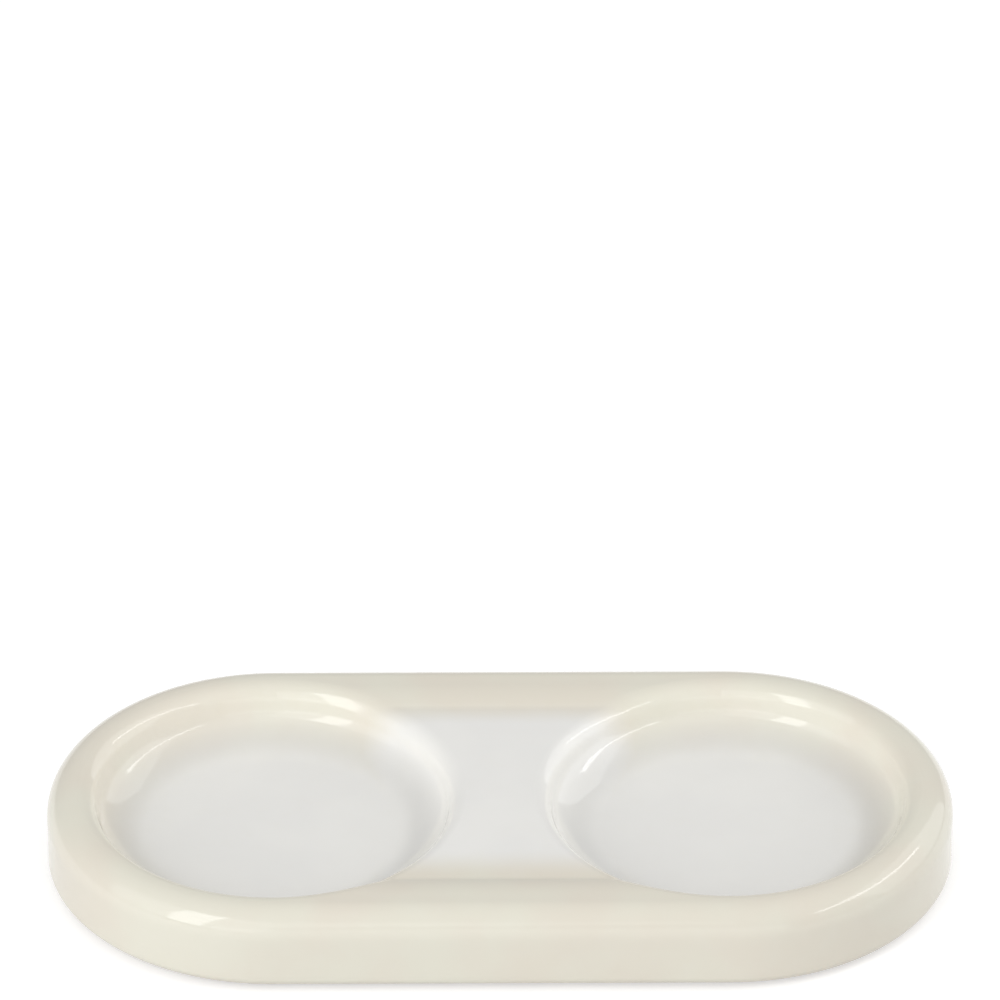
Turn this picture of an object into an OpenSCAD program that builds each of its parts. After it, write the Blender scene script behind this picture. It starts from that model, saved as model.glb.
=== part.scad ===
// Two-well stoneware tray for a pair of table mills.
// Frame: X runs along the tray, Y from its front to its back, Z up from the table top.
// The origin lies on the table, under the middle of the tray.

/* [Wells] */
// Diameter of the level middle of a well's floor, which takes the base of one mill
well_floor_d = 52; // [48:1:64]
// Distance between the middles of the two wells
well_spacing = 95; // [92:1:120]
// Depth of a well's floor below the crest of the rim
well_depth = 10.25; // [9.5:0.25:12]
// Radius of the gentle curve in which the floor starts to rise
well_dish = 14.5; // [12:0.5:17]
// Slope at which that curve ends, measured up from level
well_dish_angle = 40; // [30:1:45]
// Slope of the well wall, measured up from level
well_wall_angle = 72; // [62:1:76]
// Radius of the hollow curve between the dished floor and the wall of a well
well_fillet = 4; // [3:0.5:5.5]
// Radius of the rounded lip at the top of the well wall
well_lip = 4; // [3:0.5:5]

/* [Rim] */
// Height of the rim's crest above the lower edge of the outer wall
rim_height = 17.5; // [15:0.5:22]
// Radius of the rim's rounded outer shoulder
rim_shoulder = 6; // [4:0.5:7]
// Level width of the crest where the rim runs round a well
rim_crest = 0.4; // [0.4:0.1:3]
// Radius of the outer wall's lower edge
lower_edge = 2; // [1.5:0.5:3.5]

/* [Bridge] */
// Drop from the crest of the rim to the deck between the wells
bridge_drop = 1.2; // [0.8:0.1:2]
// Width of the rim beside the deck, from the outer wall to where it starts to fall
bridge_rim = 9; // [8.4:0.2:13]
// Radius of the soft curve in which the rim falls to the deck
bridge_lip = 20; // [14:0.5:24]
// Radius of the hollow at the foot of that curve
bridge_hollow = 4; // [2:0.5:6]

/* [Glaze] */
// Thickness of the fired glaze
glaze = 0.5; // [0.3:0.1:0.8]
// Turn of the lower edge that stays bare clay, measured up from the foot
bare_edge = 40; // [20:1:70]
// Diameter of the pale liner glaze in a well
liner_d = 67; // [62:1:76]
// Width of the pale liner glaze across the deck
liner_band = 54; // [40:1:58]

/* [Underside] */
// Width of the bare clay foot, from the outer wall to the recess
foot_w = 9; // [6:0.5:14]
// Depth of the recess inside the foot
recess_depth = 3; // [2:0.25:4]
// Run of the recess's sloping side
recess_side = 1.5; // [0.5:0.25:3]

/* [Bumpers] */
// Diameter of a stick-on bumper
bumper_d = 10; // [8:0.5:14]
// Height of a bumper
bumper_h = 3.5; // [3.25:0.25:6]
// Radius of a bumper's rounded lower edge
bumper_edge = 1.5; // [0.5:0.25:2]
// Clay left between a bumper and the side of the recess
bumper_margin = 3; // [1.5:0.5:8]
// Direction of a bumper from the middle of its well, measured from the length of the tray
bumper_angle = 45; // [30:1:70]

/* [Hidden] */

// Straight pieces that make up each rounded edge
arc_steps = 8;
// Straight pieces that make up the lip of the deck
lip_steps = 3;
// Levels in which that lip climbs the deck's sides to the rim
lip_levels = 4;
// Length by which a cutting shape runs past the surface that it opens
overshoot = 5;
// Fineness of whole circles
$fn = 96;

// Heights above the table
edge_z = bumper_h + glaze - recess_depth;
crest_z = edge_z + rim_height;
floor_z = crest_z - well_depth;
fillet_z = floor_z + well_dish - (well_dish - well_fillet) * cos(well_dish_angle);
deck_z = crest_z - bridge_drop;
recess_z = edge_z + recess_depth;

// Slope at which the soft curve and the hollow at the deck's side meet, measured up from level
bridge_slope = acos(1 - bridge_drop / (bridge_lip + bridge_hollow));

// Distances from the middle of a well, or from the middle line of the tray
well_x = well_spacing / 2;
floor_r = well_floor_d / 2;
fillet_r = floor_r + (well_dish - well_fillet) * sin(well_dish_angle);
wall_r = lip_reach(crest_z) + rim_crest + rim_shoulder;
slope_top_y = wall_r - bridge_rim;
deck_y = slope_top_y - (bridge_lip + bridge_hollow) * sin(bridge_slope);
lip_end_y = deck_y - bridge_hollow / 4;
recess_r = wall_r - foot_w;
glaze_end = bare_edge - 90;
bumper_reach = recess_r - recess_side - bumper_margin - bumper_d / 2;

// Level run of a slope that falls by drop, with round ends whose radii add up to curves
function slope_run(drop, angle, curves) =
    curves * sin(angle) + (drop - curves * (1 - cos(angle))) / tan(angle);

// Radius at which a well's lip meets a level surface at height top
function lip_reach(top) =
    fillet_r + slope_run(top - fillet_z + well_fillet, well_wall_angle, well_fillet + well_lip);

// Distance from the middle line to the side of the recess at height z
function recess_reach(z) = recess_r - (z - edge_z) * recess_side / recess_depth;

// Points on a circle about [x, z], from one angle to another, measured from +X towards +Z
function arc(x, z, radius, from, to, steps = arc_steps) = [
    for (step = [0 : steps])
        let (angle = from + (to - from) * step / steps)
        [x + radius * cos(angle), z + radius * sin(angle)]
];

// All points but the first
function after_first(points) = [for (i = [1 : len(points) - 1]) points[i]];

// A point past the second of two points, on the same straight line
function run_past(first, second) = second + (second - first) / 2;

// Part of the outer wall's lower edge, lying a distance inset under the glaze
function lower_arc(inset, from, to) =
    arc(wall_r - lower_edge, edge_z + lower_edge, lower_edge - inset, from, to);

// The outer shoulder and the level top of the tray, lying a distance inset under the glaze
function shoulder(inset) = concat(
    arc(wall_r - rim_shoulder, crest_z - rim_shoulder, rim_shoulder - inset, 0, 90),
    [[0, crest_z - inset]]
);

// Half section of the clay's outside, with a ledge where the glaze ends
function clay_section() = concat(
    [[0, edge_z]],
    lower_arc(0, -90, glaze_end),
    lower_arc(glaze, glaze_end, 0),
    shoulder(glaze)
);

// Half section of the clay that the glaze lies on
function glazed_clay_section() = concat([[0, edge_z + glaze]], lower_arc(glaze, -90, 0), shoulder(glaze));

// Half section of the glaze's outside, ending square to the surface at the ledge
function glaze_section() = concat(
    [[0, edge_z + lower_edge], [wall_r - lower_edge, edge_z + lower_edge]],
    lower_arc(0, glaze_end, 0),
    shoulder(0)
);

// Rounded lip of a well that opens onto a level surface at height top
function lip_arc(top, inset, steps = arc_steps) =
    arc(lip_reach(top), top - well_lip, well_lip - inset, well_wall_angle + 90, 90, steps);

// Surface of a well from the level middle of its floor to its lip on the rim
function well_wall(inset) = concat(
    arc(floor_r, floor_z + well_dish, well_dish + inset, -90, well_dish_angle - 90),
    after_first(arc(fillet_r, fillet_z, well_fillet + inset, well_dish_angle - 90, well_wall_angle - 90)),
    lip_arc(crest_z, inset)
);

// Surface of the deck's side, from the edge of the deck up to the rim
function deck_side(inset) = concat(
    arc(deck_y, deck_z + bridge_hollow, bridge_hollow + inset, -90, bridge_slope - 90),
    after_first(arc(slope_top_y, crest_z - bridge_lip, bridge_lip - inset, bridge_slope + 90, 90))
);

// Distance from the middle line at which the deck's side, under the glaze, reaches the height z less inset
function deck_side_reach(z, inset) =
    let (
        foot = bridge_hollow + inset,
        top = bridge_lip - inset,
        rise = z - deck_z,
        fall = crest_z - z
    )
    rise < foot * (1 - cos(bridge_slope)) ? deck_y + sqrt(pow(foot, 2) - pow(foot - rise, 2))
    : slope_top_y - sqrt(pow(top, 2) - pow(top - fall, 2));

// Closes a line of points, which runs outwards and up, into the section of a cut that opens upwards
function opened_up(points) =
    let (first = points[0], last = points[len(points) - 1], open_z = last[1] + overshoot)
    concat(points, [[last[0], open_z], [first[0], open_z]]);

// Section of a cut that has the given surface and a level floor
function cut_section(surface) =
    let (end = len(surface) - 1)
    opened_up(concat(
        [[0, surface[0][1]]],
        [for (i = [0 : end - 1]) surface[i]],
        [run_past(surface[end - 1], surface[end])]
    ));

// Section of a cut that has the given surface and meets the material nowhere else
function ring_section(surface) =
    let (end = len(surface) - 1)
    opened_up(concat(
        [run_past(surface[1], surface[0])],
        [for (i = [1 : end - 1]) surface[i]],
        [run_past(surface[end - 1], surface[end])]
    ));

// Extrudes a half section and its mirror image along the tray between the middles of the wells
module along_tray(section) {
    rotate([90, 0, 90])
        linear_extrude(height = well_spacing, center = true)
            for (side = [0, 1])
                mirror([side, 0]) polygon(section);
}

// Sweeps a half section round the tray: two round ends and the straight stretch between them
module round_tray(section) {
    along_tray(section);
    for (turn = [0, 180])
        rotate([0, 0, turn])
            translate([well_x, 0, 0])
                rotate([0, 0, -90])
                    rotate_extrude(angle = 180) polygon(section);
}

module at_wells() {
    for (side = [-1, 1])
        translate([side * well_x, 0, 0]) children();
}

// A tray with the given outside, whose wells and deck lie a distance inset under the glaze
module tray_form(outside, inset) {
    difference() {
        round_tray(outside);
        along_tray(cut_section(deck_side(inset)));
        at_wells() rotate_extrude() polygon(cut_section(well_wall(inset)));
        bridge_lips(inset);
    }
}

// Rounds the edges where the deck and its sides meet the two wells, level by level up to the rim
module bridge_lips(inset) {
    for (level = [0 : lip_levels - 1]) {
        top = deck_z + bridge_drop * level / lip_levels;
        reach = level == 0 ? lip_end_y : deck_side_reach(top, inset);
        intersection() {
            at_wells() rotate_extrude() polygon(ring_section(lip_arc(top, inset, lip_steps)));
            translate([-well_x, -reach, 0])
                cube([well_spacing, 2 * reach, top + overshoot]);
        }
    }
}

// Fills the recess inside the foot between two heights
module recess_fill(low, high) {
    round_tray([[0, low], [recess_reach(low), low], [recess_reach(high), high], [0, high]]);
}

// The part of the tray's plan that the pale liner glaze covers
module liner_area() {
    at_wells() cylinder(d = liner_d, h = crest_z + overshoot);
    translate([-well_x, -liner_band / 2, 0])
        cube([well_spacing, liner_band, crest_z + overshoot]);
}

// The fired glaze on the upper side and the outer wall
module glaze_coat() {
    difference() {
        tray_form(glaze_section(), 0);
        tray_form(glazed_clay_section(), glaze);
    }
}

module stoneware_body() {
    color("tan") difference() {
        tray_form(clay_section(), glaze);
        recess_fill(edge_z - overshoot, recess_z);
    }
}

module rim_glaze() {
    color("cornsilk") difference() {
        glaze_coat();
        liner_area();
    }
}

module liner_glaze() {
    color("whitesmoke") intersection() {
        glaze_coat();
        liner_area();
    }
}

module base_glaze() {
    color("ivory") recess_fill(recess_z - glaze, recess_z);
}

// One bumper, towards the end and the side of the tray that the two signs give
module bumper(end, side) {
    section = concat(
        [[0, 0]],
        arc(bumper_d / 2 - bumper_edge, bumper_edge, bumper_edge, -90, 0),
        [[bumper_d / 2, bumper_h], [0, bumper_h]]
    );
    color("gainsboro")
        translate([
            end * (well_x + bumper_reach * cos(bumper_angle)),
            side * bumper_reach * sin(bumper_angle),
            0,
        ])
            rotate_extrude() polygon(section);
}

stoneware_body();
rim_glaze();
liner_glaze();
base_glaze();
bumper(-1, -1);  // bumper_front_left
bumper(1, -1);  // bumper_front_right
bumper(-1, 1);  // bumper_back_left
bumper(1, 1);  // bumper_back_right
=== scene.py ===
import math

import bmesh
import bpy
import numpy as np
from mathutils import Matrix, Vector


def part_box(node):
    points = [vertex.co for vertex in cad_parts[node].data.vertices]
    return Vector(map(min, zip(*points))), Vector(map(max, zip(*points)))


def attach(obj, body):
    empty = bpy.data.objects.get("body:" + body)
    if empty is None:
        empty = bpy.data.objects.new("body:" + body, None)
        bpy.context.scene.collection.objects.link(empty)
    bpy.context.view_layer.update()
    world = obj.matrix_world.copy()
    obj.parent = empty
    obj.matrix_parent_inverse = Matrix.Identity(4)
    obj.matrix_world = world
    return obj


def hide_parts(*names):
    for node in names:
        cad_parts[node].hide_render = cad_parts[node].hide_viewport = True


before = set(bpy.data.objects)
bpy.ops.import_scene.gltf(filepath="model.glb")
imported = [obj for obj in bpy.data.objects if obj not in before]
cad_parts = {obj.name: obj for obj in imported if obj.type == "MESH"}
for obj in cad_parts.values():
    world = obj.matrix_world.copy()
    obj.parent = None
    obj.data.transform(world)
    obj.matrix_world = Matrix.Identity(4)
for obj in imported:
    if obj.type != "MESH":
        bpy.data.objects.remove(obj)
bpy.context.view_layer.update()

# The stoneware body
# Fine buff clay, pressed in one piece and fired: an oblong slab with a raised rim, two round wells and
# a lower bridge between them. Underneath it has a bare foot and a shallow recess.

rim_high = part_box("rim_glaze")[1]
body_low, body_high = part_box("stoneware_body")
liner_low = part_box("liner_glaze")[0]
base_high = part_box("base_glaze")[1]

wall_r = rim_high.y
well_x = rim_high.x - wall_r
crest_z = rim_high.z
edge_z = body_low.z
glaze_depth = rim_high.y - body_high.y
floor_z = liner_low.z + glaze_depth
recess_z = base_high.z
recess_reach = base_high.y

# A dish, hollow, lip, shoulder or edge is given by the radius of its curve, and a slope by its angle.
floor_r = 0.026
well_dish = 0.0145
well_dish_end = math.radians(40)
well_hollow = 0.004
well_lip = 0.004
well_slope = math.radians(72)
rim_shoulder = 0.006
lower_edge = 0.002
glaze_end = math.radians(-50)
bridge_drop = 0.0012
bridge_rim = 0.009
bridge_hollow = 0.004
bridge_lip = 0.020
bridge_slope = math.acos(1 - bridge_drop / (bridge_hollow + bridge_lip))
foot_w = 0.009


def slope_run(fall, slope, curves):
    """Level run of a slope that falls this far, with round ends whose radii add up to curves."""
    return curves * math.sin(slope) + (fall - curves * (1 - math.cos(slope))) / math.tan(slope)


def slope_height(reach, foot, low, high, hollow, lip, slope):
    """Height of a slope that rises outwards from low to high: a hollow curve, a straight and a lip."""
    crown = foot + slope_run(high - low, slope, hollow + lip)
    from_foot = np.clip(reach - foot, 0, hollow * math.sin(slope))
    from_crown = np.clip(crown - reach, 0, lip * math.sin(slope))
    lower = low + hollow - np.sqrt(hollow**2 - from_foot**2)
    upper = high - lip + np.sqrt(lip**2 - from_crown**2)
    past_hollow = reach - foot - hollow * math.sin(slope)
    straight = low + hollow * (1 - math.cos(slope)) + past_hollow * math.tan(slope)
    in_lip = reach > crown - lip * math.sin(slope)
    in_hollow = reach < foot + hollow * math.sin(slope)
    return np.where(in_lip, upper, np.where(in_hollow, lower, straight))


deck_z = crest_z - bridge_drop
deck_y = wall_r - bridge_rim - slope_run(bridge_drop, bridge_slope, bridge_hollow + bridge_lip)
hollow_r = floor_r + (well_dish - well_hollow) * math.sin(well_dish_end)
hollow_low = floor_z + (well_dish - well_hollow) * (1 - math.cos(well_dish_end))
crown_r = hollow_r + slope_run(crest_z - hollow_low, well_slope, well_hollow + well_lip)


def top_height(x, y, inset):
    """Height of the tray's upper side, a distance inset under the surface of the glaze."""
    deck = slope_height(np.abs(y), deck_y, deck_z - inset, crest_z - inset,
                        bridge_hollow + inset, bridge_lip - inset, bridge_slope)
    around = np.where(np.abs(x) < well_x, deck, crest_z - inset)
    from_well = np.hypot(np.abs(x) - well_x, y)
    wall = slope_height(from_well, hollow_r, hollow_low - inset, around,
                        well_hollow + inset, well_lip - inset, well_slope)
    dish = well_dish + inset
    up_dish = np.clip(from_well - floor_r, 0, dish * math.sin(well_dish_end))
    floor = floor_z + well_dish - np.sqrt(dish**2 - up_dish**2)
    return np.where(from_well < floor_r + dish * math.sin(well_dish_end), floor, wall)


# The mesh is set closer on the steep walls of the wells than on the open stretches beside them.
end_steps = 96
arc_steps = 10
open_step = 0.0005
wall_step = 0.0002
merge_within = 1e-7
sharp_from = math.radians(35)


def places(start, stop, step):
    """Even places about a step apart, from start up to the one before stop."""
    return np.linspace(start, stop, round(abs(stop - start) / step), endpoint=False)


def stations():
    """Foot points and outward directions of the sections, once round the tray."""
    on_floor = places(0, hollow_r, open_step)
    on_wall = places(hollow_r, crown_r, wall_step)
    on_bridge = places(crown_r, well_x, open_step)
    inward = well_x - np.concatenate([on_floor, on_wall, on_bridge])
    along = np.concatenate([inward, [0], -inward[:0:-1]])
    turn = np.linspace(-math.pi / 2, math.pi / 2, end_steps, endpoint=False)
    ones = np.ones(end_steps)
    foot_x = np.concatenate([well_x * ones, along, -well_x * ones, -along])
    out_x = np.concatenate([np.cos(turn), 0 * along, -np.cos(turn), 0 * along])
    out_y = np.concatenate([np.sin(turn), 0 * along + 1, -np.sin(turn), 0 * along - 1])
    return foot_x, out_x, out_y


def arc(centre_r, centre_z, radius, start, stop):
    """Points of a rounded edge in the section, as pairs of reach and height."""
    turn = np.linspace(start, stop, arc_steps + 1)
    return [(centre_r + radius * math.cos(a), centre_z + radius * math.sin(a)) for a in turn]


def outside_rows(inset):
    """Section of the outer wall from where the glaze ends to the crest of the rim."""
    lower = arc(wall_r - lower_edge, edge_z + lower_edge, lower_edge - inset, glaze_end, 0)
    upper = arc(wall_r - rim_shoulder, crest_z - rim_shoulder, rim_shoulder - inset, 0, math.pi / 2)
    wall_low, wall_high = lower[-1], upper[0]
    wall = [
        (wall_low[0], wall_low[1] + (wall_high[1] - wall_low[1]) * part / arc_steps)
        for part in range(1, arc_steps)
    ]
    return lower + wall + upper


def ring_points(rows):
    """Points of some rows of the section, carried round the tray."""
    foot_x, out_x, out_y = stations()
    return [np.stack([foot_x + r * out_x, r * out_y, np.full_like(foot_x, z)], axis=1) for r, z in rows]


def inside_points(inset):
    """Points of the upper side, from inside the crest of the rim to the middle line of the tray."""
    foot_x, out_x, out_y = stations()
    on_rim = places(wall_r - rim_shoulder, crown_r, open_step)[1:]
    on_wall = places(crown_r, hollow_r, wall_step)
    on_floor = places(hollow_r, 0, open_step)
    rings = []
    for r in np.concatenate([on_rim, on_wall, on_floor, [0]]):
        x, y = foot_x + r * out_x, r * out_y
        rings.append(np.stack([x, y, top_height(x, y, inset)], axis=1))
    return rings


def mesh_of_rings(name, sheets):
    """A smooth mesh from lists of rings, each list joined ring to ring, with doubled points merged."""
    points, faces, start = [], [], 0
    for rings in sheets:
        count = len(rings[0])
        points.extend(rings)
        for row in range(len(rings) - 1):
            here, above = start + row * count, start + (row + 1) * count
            faces.extend((here + i, here + (i + 1) % count, above + (i + 1) % count, above + i)
                         for i in range(count))
        start += len(rings) * count
    mesh = bpy.data.meshes.new(name)
    mesh.from_pydata(np.concatenate(points).tolist(), [], faces)
    work = bmesh.new()
    work.from_mesh(mesh)
    bmesh.ops.remove_doubles(work, verts=work.verts, dist=merge_within)
    bmesh.ops.recalc_face_normals(work, faces=work.faces)
    work.to_mesh(mesh)
    work.free()
    mesh.shade_smooth()
    mesh.set_sharp_from_angle(angle=sharp_from)
    piece = bpy.data.objects.new(name, mesh)
    bpy.context.collection.objects.link(piece)
    return piece


def add_piece(piece, slot, *nodes):
    """Fixes a piece to the tray in place of the nodes that it stands for."""
    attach(piece, "root")
    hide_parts(*nodes)


underside = [(0, recess_z), (recess_reach, recess_z), (wall_r - foot_w, edge_z)]
bare_edge = arc(wall_r - lower_edge, edge_z + lower_edge, lower_edge, -math.pi / 2, glaze_end)
clay_rows = underside + bare_edge + outside_rows(glaze_depth)
clay_body = mesh_of_rings("clay_body", [ring_points(clay_rows) + inside_points(glaze_depth)])
add_piece(clay_body, "stoneware", "stoneware_body")


def new_material(name):
    """A material that has only its shader so far, with its tree of nodes and that shader."""
    material = bpy.data.materials.new(name)
    material.use_nodes = True
    tree = material.node_tree
    return material, tree, tree.nodes["Principled BSDF"]


def cloudy(tree, size, detail=2.0):
    """A soft random pattern from 0 to 1, whose patches are about this many metres across."""
    place = tree.nodes.new("ShaderNodeTexCoord")
    pattern = tree.nodes.new("ShaderNodeTexNoise")
    pattern.inputs["Scale"].default_value = 1 / size
    pattern.inputs["Detail"].default_value = detail
    tree.links.new(place.outputs["Object"], pattern.inputs["Vector"])
    return pattern.outputs["Fac"]


def spread(tree, value, span, result=(0, 1), ends="SMOOTHSTEP"):
    """Carries the values of a span over to a range of results, with soft ends unless told otherwise."""
    change = tree.nodes.new("ShaderNodeMapRange")
    change.interpolation_type = ends
    for socket, number in zip(("From Min", "From Max", "To Min", "To Max"), (*span, *result)):
        change.inputs[socket].default_value = number
    tree.links.new(value, change.inputs["Value"])
    return change.outputs["Result"]


def blend_colours(tree, share, first, second):
    """The first colour where the share is 0 and the second where it is 1; each is a colour or a socket."""
    mix = tree.nodes.new("ShaderNodeMix")
    mix.data_type = "RGBA"
    colours = [socket for socket in mix.inputs if socket.type == "RGBA"]
    tree.links.new(share, mix.inputs["Factor"])
    for socket, colour in zip(colours, (first, second)):
        if isinstance(colour, tuple):
            socket.default_value = colour
        else:
            tree.links.new(colour, socket)
    return next(socket for socket in mix.outputs if socket.type == "RGBA")


def relief(tree, height, depth, below=None):
    """A raised or sunk grain, depth metres from its lowest to its highest point."""
    bump = tree.nodes.new("ShaderNodeBump")
    bump.inputs["Distance"].default_value = depth
    tree.links.new(height, bump.inputs["Height"])
    if below is not None:
        tree.links.new(below, bump.inputs["Normal"])
    return bump.outputs["Normal"]


# A span is the stretch of a pattern's values over which a surface changes.
cloud_span = (0.35, 0.65)
grain_span = (0.3, 0.7)
clay_buff = (0.60, 0.50, 0.37, 1)
clay_toasted = (0.50, 0.39, 0.27, 1)
clay_speck = (0.28, 0.20, 0.13, 1)
clay_patch = 0.012
clay_patch_detail = 4.0
clay_speck_size = 0.0012
clay_speck_span = (0.66, 0.72)
clay_speck_share = (0, 0.7)
clay_grain = 0.0005
clay_grain_detail = 3.0
clay_grain_depth = 0.00015
clay_roughness = (0.7, 0.9)

clay, tree, shader = new_material("bare_stoneware")
patches = spread(tree, cloudy(tree, clay_patch, clay_patch_detail), cloud_span)
specks = spread(tree, cloudy(tree, clay_speck_size), clay_speck_span, clay_speck_share)
grain = cloudy(tree, clay_grain, clay_grain_detail)
patched_clay = blend_colours(tree, patches, clay_buff, clay_toasted)
tree.links.new(blend_colours(tree, specks, patched_clay, clay_speck), shader.inputs["Base Color"])
tree.links.new(spread(tree, grain, grain_span, clay_roughness), shader.inputs["Roughness"])
tree.links.new(relief(tree, grain, clay_grain_depth), shader.inputs["Normal"])
clay_body.data.materials.append(clay)

# The glaze on the tray
# Glossy cream glaze over the wall and rim, and a paler liner glaze poured into the wells and over the
# bridge, fired into one glass coat about half a millimetre thick. It stops just above the foot.

outer_skin = ring_points(outside_rows(0)) + inside_points(0)
inner_skin = ring_points(outside_rows(glaze_depth)) + inside_points(glaze_depth)
lower_rim = [inner_skin[0], outer_skin[0]]
glaze_coat = mesh_of_rings("glaze_coat", [lower_rim, outer_skin, inner_skin[::-1]])
add_piece(glaze_coat, "cream_glaze", "rim_glaze", "liner_glaze")

# Each pair is where a change starts and ends: from the middle of a well, or from the middle of the tray.
liner_fade = (0.0245, 0.0400)
liner_front = (-0.0310, -0.0205)
liner_back = (0.0245, 0.0335)
liner_across = (0.0225, 0.0365)
# The dimmer ring round each well's floor is painted shade, and the brighter ring on the steep wall above
# it is painted light.
shade_ring_rise = (0.0265, 0.0310)
shade_ring_fall = (0.0315, 0.0355)
lit_ring_rise = (0.0340, 0.0362)
lit_ring_fall = (0.0375, 0.0400)
painted_shade_loss = 0.065
painted_light_gain = 0.06


def soft_step(value, ends):
    """Rises smoothly from 0 at the first end to 1 at the second."""
    part = np.clip((value - ends[0]) / (ends[1] - ends[0]), 0, 1)
    return part * part * (3 - 2 * part)


def liner_share(x, y):
    """Share of the paler liner glaze, all of it in the wells and on the bridge and none on the rim."""
    in_well = 1 - soft_step(np.hypot(np.abs(x) - well_x, y), liner_fade)
    on_bridge = soft_step(y, liner_front) * (1 - soft_step(y, liner_back))
    return np.maximum(in_well, on_bridge * (1 - soft_step(np.abs(x), liner_across)))


def painted_shade_and_light(x, y):
    """Painted shade and painted light: how much dimmer the glaze colour is made in the hollow round a
    well's floor, and how much brighter on the steep wall above.
    """
    from_well = np.hypot(np.abs(x) - well_x, y)
    painted_shade_ring = soft_step(from_well, shade_ring_rise) * (1 - soft_step(from_well, shade_ring_fall))
    painted_light_ring = soft_step(from_well, lit_ring_rise) * (1 - soft_step(from_well, lit_ring_fall))
    return painted_light_gain * painted_light_ring - painted_shade_loss * painted_shade_ring


def paint(piece, name, rule):
    """Keeps a value, worked out from the place, with each point of a piece."""
    points = np.array([point.co for point in piece.data.vertices])
    values = piece.data.attributes.new(name, "FLOAT", "POINT")
    values.data.foreach_set("value", rule(points[:, 0], points[:, 1]))


def square_to_top(piece):
    """Turns the normals on the upper side exactly square to its curves, so that reflections run clean."""
    mesh = piece.data
    near = 1e-6
    step = 1e-5
    x, y, z = np.array([point.co for point in mesh.vertices]).T
    inside = np.hypot(np.maximum(np.abs(x) - well_x, 0), y) < wall_r - rim_shoulder
    on_top = inside & (np.abs(z - top_height(x, y, 0)) < near)
    fall_x = top_height(x - step, y, 0) - top_height(x + step, y, 0)
    fall_y = top_height(x, y - step, 0) - top_height(x, y + step, 0)
    square = np.stack([fall_x, fall_y, np.full_like(x, 2 * step)], axis=1)
    square /= np.linalg.norm(square, axis=1, keepdims=True)
    corners = np.array([corner.vector for corner in mesh.corner_normals])
    points = np.array([corner.vertex_index for corner in mesh.loops])
    corners[on_top[points]] = square[points][on_top[points]]
    mesh.normals_split_custom_set(corners.tolist())


paint(glaze_coat, "liner", liner_share)
# Painted shade and painted light, kept with each point of the glaze coat.
paint(glaze_coat, "painted_shade_light", painted_shade_and_light)
square_to_top(glaze_coat)


def painted(tree, name):
    """The value that was kept with the points of the piece under this name."""
    kept = tree.nodes.new("ShaderNodeAttribute")
    kept.attribute_name = name
    return kept.outputs["Fac"]


def worked_out(tree, operation, *values):
    """A value worked out from others, each of them a number or a socket."""
    sum_node = tree.nodes.new("ShaderNodeMath")
    sum_node.operation = operation
    for socket, value in zip(sum_node.inputs, values):
        if isinstance(value, float):
            socket.default_value = value
        else:
            tree.links.new(value, socket)
    return sum_node.outputs["Value"]


cream = (0.784, 0.761, 0.655, 1)
cream_warm = (0.778, 0.731, 0.630, 1)
liner_white = (0.880, 0.873, 0.843, 1)
liner_grey = (0.858, 0.852, 0.826, 1)
glaze_cloud = 0.022
glaze_mottle = 0.004
glaze_mottle_detail = 3.0
glaze_ripple = 0.014
glaze_ripple_depth = 0.00010
glaze_peel = 0.0018
glaze_peel_depth = 0.000006
glaze_roughness = (0.05, 0.10)
liner_unevenness = 0.16
uneven_span = (liner_unevenness / 2, 1 + liner_unevenness / 2)

glaze, tree, shader = new_material("cream_glaze")
clouds = spread(tree, cloudy(tree, glaze_cloud), cloud_span)
mottle = cloudy(tree, glaze_mottle, glaze_mottle_detail)
cream_colour = blend_colours(tree, clouds, cream, cream_warm)
liner_colour = blend_colours(tree, clouds, liner_white, liner_grey)
uneven_liner = worked_out(tree, "MULTIPLY_ADD", mottle, liner_unevenness, painted(tree, "liner"))
lined = spread(tree, uneven_liner, uneven_span, ends="LINEAR")
# The glaze colour is dimmed in a ring round each well's floor as painted shade, and brightened on the
# steep wall above as painted light.
shaded_and_lit_colour = tree.nodes.new("ShaderNodeHueSaturation")
tree.links.new(worked_out(tree, "ADD", painted(tree, "painted_shade_light"), 1.0), shaded_and_lit_colour.inputs["Value"])
tree.links.new(blend_colours(tree, lined, cream_colour, liner_colour), shaded_and_lit_colour.inputs["Color"])
tree.links.new(shaded_and_lit_colour.outputs["Color"], shader.inputs["Base Color"])
tree.links.new(spread(tree, mottle, grain_span, glaze_roughness), shader.inputs["Roughness"])
ripples = relief(tree, cloudy(tree, glaze_ripple), glaze_ripple_depth)
peel = relief(tree, cloudy(tree, glaze_peel), glaze_peel_depth, ripples)
tree.links.new(peel, shader.inputs["Normal"])
glaze_coat.data.materials.append(glaze)

# The glaze under the tray
# The same cream glaze, poured over the roof of the recess and wiped off the foot before firing,
# so that the tray doesn't stick to the kiln shelf.

base_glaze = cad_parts["base_glaze"]
base_glaze.data.materials.clear()
base_glaze.data.materials.append(glaze)

# The bumpers
# Four soft moulded silicone feet, each stuck to the glazed roof of the recess by its own adhesive film.
# Their lower edges are rounded, and a small dimple in the middle lets them grip the table.

bumper_edge = 0.0015
film_depth = 0.0002
film_inset = 0.0002
bumper_draft = 0.0001
top_round = 0.0003
dimple_r = 0.0018
dimple_depth = 0.0003
bumper_steps = 48
dimple_steps = 6


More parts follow.
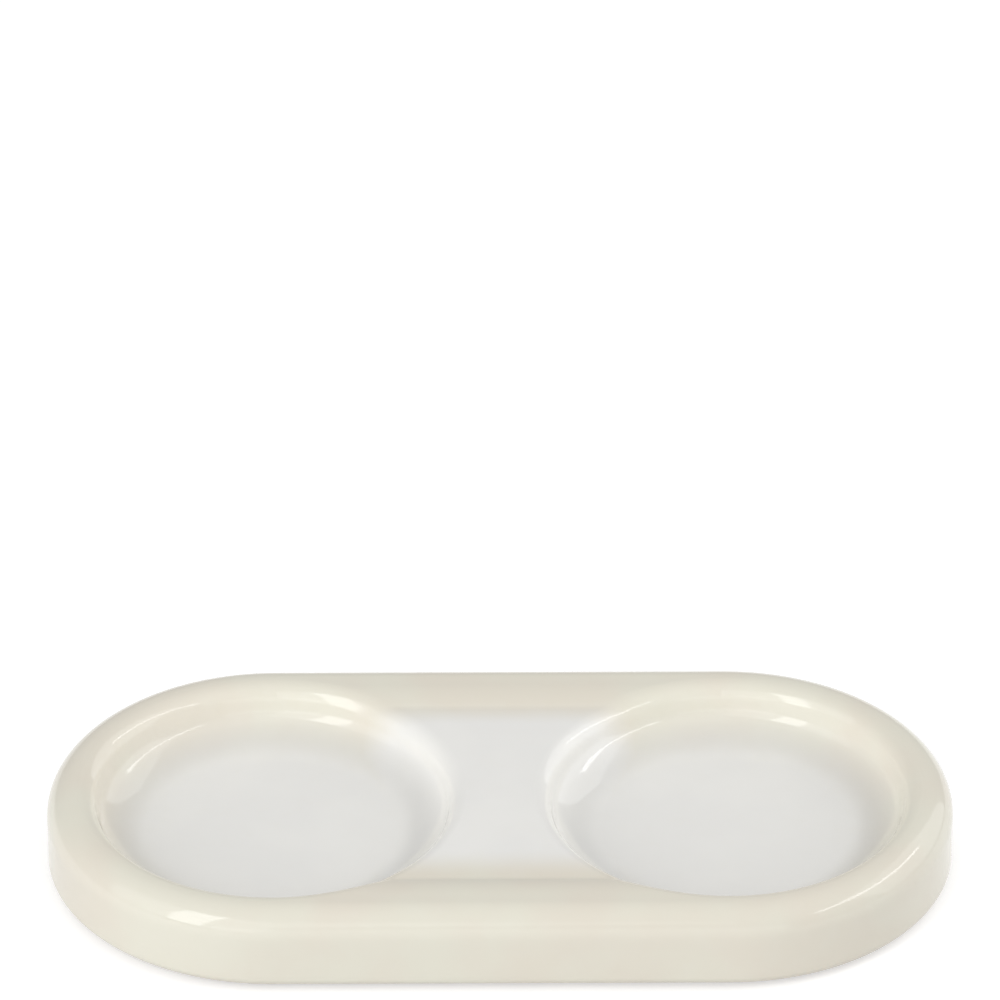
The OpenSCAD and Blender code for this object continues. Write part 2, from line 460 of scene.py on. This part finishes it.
def bumper_rows(radius, height):
    """Section of a bumper, from the middle of its upper side down to the middle of its dimple."""
    pad_top = height - film_depth
    film = [(0, height), (radius - film_inset, height), (radius - film_inset, pad_top)]
    shoulder = arc(radius - bumper_draft - top_round, pad_top - top_round, top_round, math.pi / 2, 0)
    lower = arc(radius - bumper_edge, bumper_edge, bumper_edge, 0, -math.pi / 2)
    dimple = []
    for part in np.linspace(1, 0, dimple_steps + 1):
        dimple.append((dimple_r * part, dimple_depth * (1 + math.cos(math.pi * part)) / 2))
    return film + shoulder + lower + dimple


def turned_rings(rows, centre_x, centre_y):
    """Points of a section turned round an upright axis."""
    turn = np.linspace(0, 2 * math.pi, bumper_steps, endpoint=False)
    return [
        np.stack([centre_x + r * np.cos(turn), centre_y + r * np.sin(turn), np.full_like(turn, z)], axis=1)
        for r, z in rows
    ]


silicone_clear = (0.74, 0.74, 0.72, 1)
silicone_cloudy = (0.66, 0.66, 0.63, 1)
silicone_cloud = 0.003
silicone_grain = 0.0004
silicone_grain_depth = 0.00003
silicone_roughness = (0.40, 0.55)
silicone_glow = 0.3
silicone_glow_reach = (0.002, 0.002, 0.002)
silicone_glow_scale = 1.0

silicone, tree, shader = new_material("silicone")
clouds = spread(tree, cloudy(tree, silicone_cloud), cloud_span)
grain = cloudy(tree, silicone_grain)
tree.links.new(blend_colours(tree, clouds, silicone_clear, silicone_cloudy), shader.inputs["Base Color"])
tree.links.new(spread(tree, grain, grain_span, silicone_roughness), shader.inputs["Roughness"])
tree.links.new(relief(tree, grain, silicone_grain_depth), shader.inputs["Normal"])
shader.inputs["Subsurface Weight"].default_value = silicone_glow
shader.inputs["Subsurface Radius"].default_value = silicone_glow_reach
shader.inputs["Subsurface Scale"].default_value = silicone_glow_scale

for corner in ("front_left", "front_right", "back_left", "back_right"):
    low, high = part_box(f"bumper_{corner}")
    middle = (low + high) / 2
    rows = bumper_rows((high.x - low.x) / 2, high.z)
    bumper = mesh_of_rings(f"soft_foot_{corner}", [turned_rings(rows, middle.x, middle.y)])
    bumper.data.materials.append(silicone)
    add_piece(bumper, "silicone", f"bumper_{corner}")

# The table and the light
# A wide pale table that looks white, a tall softbox and a wide panel in front to the left, a low panel in
# front, a panel and a long strip lamp on the right, and an even room around them.

white = (1, 1, 1, 1)
table_side = 8
table_white = (0.66, 0.66, 0.66, 1)
table_lift = 0.53
table_roughness = 0.6

bpy.ops.mesh.primitive_plane_add(size=table_side)
table = bpy.context.object
table.name = "table"
table_top, tree, shader = new_material("white_table")
rays = tree.nodes.new("ShaderNodeLightPath").outputs
seen = rays["Is Camera Ray"]
for ray in ("Is Glossy Ray", "Is Transmission Ray"):
    seen = worked_out(tree, "MAXIMUM", seen, rays[ray])
tree.links.new(worked_out(tree, "MULTIPLY", seen, table_lift), shader.inputs["Emission Strength"])
shader.inputs["Emission Color"].default_value = white
shader.inputs["Base Color"].default_value = table_white
shader.inputs["Roughness"].default_value = table_roughness
table.data.materials.append(table_top)


def softbox(name, azimuth, elevation, distance, width, height, power):
    """A flat lamp that faces the tray; azimuth is in degrees from the front towards the right."""
    lamp = bpy.data.lights.new(name, "AREA")
    lamp.shape = "RECTANGLE"
    lamp.size = width
    lamp.size_y = height
    lamp.energy = power
    holder = bpy.data.objects.new(name, lamp)
    turn, rise = math.radians(azimuth), math.radians(elevation)
    level = math.cos(rise) * distance
    holder.location = (level * math.sin(turn), -level * math.cos(turn), math.sin(rise) * distance)
    holder.rotation_euler = Vector(holder.location).to_track_quat("Z", "Y").to_euler()
    holder.visible_camera = False
    bpy.context.collection.objects.link(holder)


softbox("front_left_softbox", azimuth=-43, elevation=30, distance=1.2, width=0.36, height=1.0, power=3.6)
softbox("front_left_panel", azimuth=-45, elevation=30, distance=1.8, width=2.8, height=1.6, power=11.0)
softbox("front_low_panel", azimuth=0, elevation=10, distance=1.6, width=1.8, height=0.5, power=2.2)
softbox("right_panel", azimuth=108, elevation=28, distance=1.8, width=2.2, height=1.6, power=11.4)
softbox("right_strip", azimuth=85, elevation=40, distance=1.2, width=1.4, height=0.1, power=1.8)

room_level = 0.49
world = bpy.data.worlds.new("room")
world.use_nodes = True
background = world.node_tree.nodes["Background"]
background.inputs["Color"].default_value = white
background.inputs["Strength"].default_value = room_level
bpy.context.scene.world = world
bpy.context.scene.view_settings.view_transform = "Standard"

# The camera
# A long lens in front of the tray, looking down at it, with the tray low in the picture. It is placed by
# how many pixels the middle of the tray, level with its foot, lies below the middle of the picture.

image_side = 1000
focal_pixels = 12000
sensor_width = 36
pitch = math.radians(33.13)
yaw = math.radians(0.36)
distance = 2.523
origin_below_middle = 356

camera = bpy.data.cameras.new("camera")
camera.sensor_width = sensor_width
camera.lens = focal_pixels / image_side * sensor_width
viewer = bpy.data.objects.new("camera", camera)
bpy.context.collection.objects.link(viewer)
forward = Vector((0, math.cos(pitch), -math.sin(pitch)))
upward = Vector((0, math.sin(pitch), math.cos(pitch)))
origin = Vector((0, 0, edge_z))
stand = -distance * forward + origin_below_middle * distance / focal_pixels * upward
turn = Matrix.Rotation(-yaw, 4, "Z")
tilt = Matrix.Rotation(math.pi / 2 - pitch, 4, "X")
viewer.matrix_world = Matrix.Translation(origin) @ turn @ Matrix.Translation(stand) @ tilt
bpy.context.scene.camera = viewer
